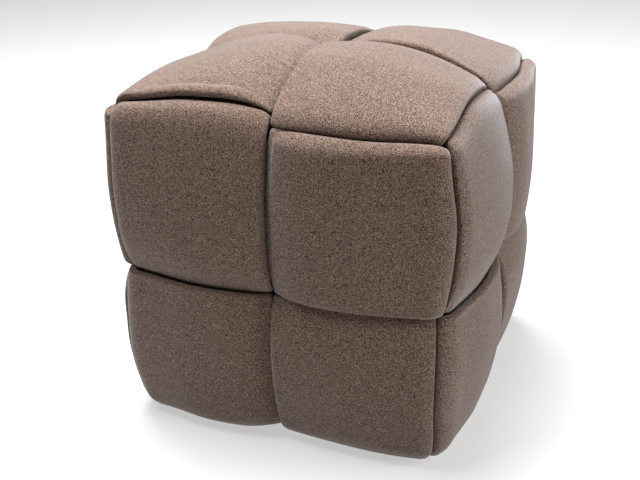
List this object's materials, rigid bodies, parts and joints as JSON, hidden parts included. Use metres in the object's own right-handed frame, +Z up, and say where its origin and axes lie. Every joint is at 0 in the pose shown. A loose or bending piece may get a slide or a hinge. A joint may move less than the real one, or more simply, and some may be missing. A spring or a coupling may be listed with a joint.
{
  "type": "cube pouf stool",
  "caption": "Cube-shaped pouf stool: a stuffed body wrapped all round by wide padded felt straps that cross over and under each other.",
  "frame": {"origin": "on the floor, under the middle of the base", "axes": "+Z up, -Y out of the front face, +X out of the right face as seen from the front"},
  "size_m": [0.4482, 0.4562, 0.4506],
  "materials": {
    "body": "plain dark base cloth",
    "belt_upper": "matt wool felt, taupe melange",
    "belt_lower": "matt wool felt, taupe melange",
    "strap_left": "matt wool felt, taupe melange",
    "strap_front": "matt wool felt, taupe melange",
    "strap_right": "matt wool felt, taupe melange",
    "strap_back": "matt wool felt, taupe melange"
  },
  "bodies": {
    "root": {"body": "body", "belt_upper": "belt_upper", "belt_lower": "belt_lower", "strap_left": "strap_left", "strap_front": "strap_front", "strap_right": "strap_right", "strap_back": "strap_back"}
  },
  "joints": []
}
